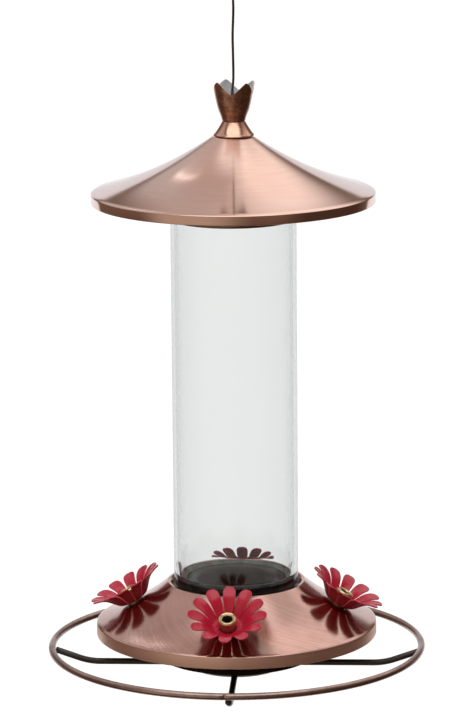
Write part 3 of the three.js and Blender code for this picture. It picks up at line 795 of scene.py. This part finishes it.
def studio():
    """White backdrop behind, soft boxes above, and a dim warm room in front.

    Directions from the feeder are in degrees: height above the horizon, and how far to the
    picture's right of the camera (front) or of straight away from it (back)."""
    world = bpy.data.worlds.new("studio")
    bpy.context.scene.world = world
    world.use_nodes = True
    tree = world.node_tree
    direction = add(tree, "TexCoord").outputs["Generated"]
    turned = add(tree, "VectorRotate", {"Vector": direction, "Angle": -VIEW_TURN},
                 rotation_type="Z_AXIS")
    x, y, z = add(tree, "SeparateXYZ", {0: turned.outputs[0]}).outputs
    degrees = math.degrees(1)
    height = calc(tree, "MULTIPLY", calc(tree, "ARCSINE", z), degrees)
    front = calc(tree, "MULTIPLY", calc(tree, "ARCTAN2", x, calc(tree, "MULTIPLY", y, -1.0)),
                 degrees)
    back = calc(tree, "MULTIPLY", calc(tree, "ARCTAN2", x, y), degrees)

    def patch(under, colour, turn, turn_low, turn_high, turn_soft, low, high, soft):
        """Lays a colour over the light between two turns and two heights, with soft edges."""
        sides = between(tree, turn, turn_low, turn_high, *turn_soft)
        levels = between(tree, height, low, high, *soft)
        return mix(tree, calc(tree, "MULTIPLY", sides, levels), under, colour)

    light = mix(tree, between(tree, height, -20, 200, 25, 1), (0.08, 0.046, 0.033),
                (0.16, 0.112, 0.087))
    light = patch(light, (0.06, 0.036, 0.026), front, 48, 128, (16, 12), -45, 8, (10, 8))
    light = patch(light, (0.43, 0.36, 0.30), front, -68, -2, (16, 22), -32, 56, (12, 6))
    light = patch(light, (0.50, 0.44, 0.42), back, -70, 80, (20, 25), 31, 200, (9, 1))
    light = patch(light, (1.05, 0.99, 0.95), back, 3, 74, (9, 14), 31, 200, (11, 1))
    light = patch(light, (0.54, 0.49, 0.48), back, -95, -30, (12, 10), 26, 200, (8, 1))
    light = patch(light, (0.66, 0.62, 0.60), back, 40, 95, (10, 12), 40, 200, (8, 1))
    light = mix(tree, between(tree, height, 66, 200, 7, 1), light, (1.2, 1.2, 1.2))
    light = patch(light, (1.5, 1.47, 1.42), front, -67, 58, (3, 18), 46, 80, (4, 6))
    light = patch(light, (0.52, 0.50, 0.49), back, -30, -13, (4, 3), 22, 44, (4, 4))
    light = patch(light, (2.1, 2.1, 2.1), back, -22.2, -20.8, (0.6, 0.6), 36, 50, (2, 5))

    # The backdrop sheet narrows upwards, and is wider and brighter below the horizon.
    narrower = calc(tree, "MAXIMUM", calc(tree, "MULTIPLY", height, 0.55), 0.0)
    below = spread(tree, height, -8.0, 0.0, 16.0, 0.0)
    width = calc(tree, "ADD", calc(tree, "SUBTRACT", 25.0, narrower), below)
    past = calc(tree, "SUBTRACT", calc(tree, "ABSOLUTE", back), width)
    sheet = calc(tree, "MULTIPLY", between(tree, past, -400, 0, 1, 2.5),
                 between(tree, height, -200, 18.5, 1, 1.2))
    white = mix(tree, between(tree, height, -200, 1, 1, 5), (0.75, 0.76, 0.79), (0.88, 0.89, 0.91))
    light = mix(tree, sheet, light, white)

    # The camera sees plain white all round, and so does glass that looks roughly straight back.
    path = add(tree, "LightPath").outputs
    through = calc(tree, "MULTIPLY", path["Is Transmission Ray"], between(tree, back, -30, 30, 8, 8))
    seen = calc(tree, "MAXIMUM", path["Is Camera Ray"], through)
    light = mix(tree, seen, light, (1.05, 1.05, 1.05))
    tree.links.new(light, tree.nodes["Background"].inputs["Color"])


def floor():
    """A wide pale floor well below the hanging feeder. The camera and glass see it; reflections,
    diffuse light and shadows don't.
    """
    mesh = bpy.data.meshes.new("studio_floor")
    size, height = 8.0, -0.35
    mesh.from_pydata([(-size, -size, height), (size, -size, height), (size, size, height),
                      (-size, size, height)], [], [(0, 1, 2, 3)])
    material, tree, shader = new_material("pale_floor")
    cloud = noise(tree, object_place(tree), 3.0, 2.0, 0.4)
    connect(tree, mix(tree, cloud, (0.86, 0.86, 0.86), (0.9, 0.9, 0.9)), shader, "Base Color")
    shader.inputs["Emission Color"].default_value = (1, 1, 1, 1)
    shader.inputs["Emission Strength"].default_value = 0.5
    shader.inputs["Roughness"].default_value = 0.9
    mesh.materials.append(material)
    made = bpy.data.objects.new("studio_floor", mesh)
    bpy.context.scene.collection.objects.link(made)
    made.visible_glossy = made.visible_diffuse = made.visible_shadow = False


def camera():
    """The camera stands 1.8 m off, a little above the feeder, and leans very slightly."""
    distance, aside, height = 1.8, 1.1 * MM, 0.5173
    pitch, lean = math.radians(11.881), math.radians(0.45)
    right = Vector((math.cos(VIEW_TURN), math.sin(VIEW_TURN), 0))
    level = Vector((-math.sin(VIEW_TURN), math.cos(VIEW_TURN), 0))
    ahead = level * math.cos(pitch) - Vector((0, 0, math.sin(pitch)))
    up = right.cross(ahead)
    leaning_right = right * math.cos(lean) - up * math.sin(lean)
    leaning_up = up * math.cos(lean) + right * math.sin(lean)
    lens = bpy.data.cameras.new("camera")
    lens.sensor_width = 36
    lens.lens = 209.82
    lens.clip_start, lens.clip_end = 0.05, 60
    made = bpy.data.objects.new("camera", lens)
    bpy.context.scene.collection.objects.link(made)
    rows = Matrix((leaning_right, leaning_up, -ahead)).transposed().to_4x4()
    rows.translation = right * aside - level * distance + Vector((0, 0, height))
    made.matrix_world = rows
    bpy.context.scene.camera = made


# ---- The feeder -------------------------------------------------------------------------------

roof()
top_cap()
glass()
finial_crown()
finial_cone()
hanger()
base_cover()
nectar_tray()
gasket()
flowers()
perch()

SHOWN_CAD = {"eye_stud": ZINC, "roof_spacer": ZINC, "stud_nut": ZINC, "top_pad": RUBBER,
             "base_collar": ZINC, "port_nut_1": ZINC, "port_nut_2": ZINC, "port_nut_3": ZINC,
             "port_nut_4": ZINC}
for node, material in SHOWN_CAD.items():
    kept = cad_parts[node]
    kept.data.materials.clear()
    kept.data.materials.append(material)

studio()
floor()
camera()
bpy.context.scene.view_settings.view_transform = "Standard"
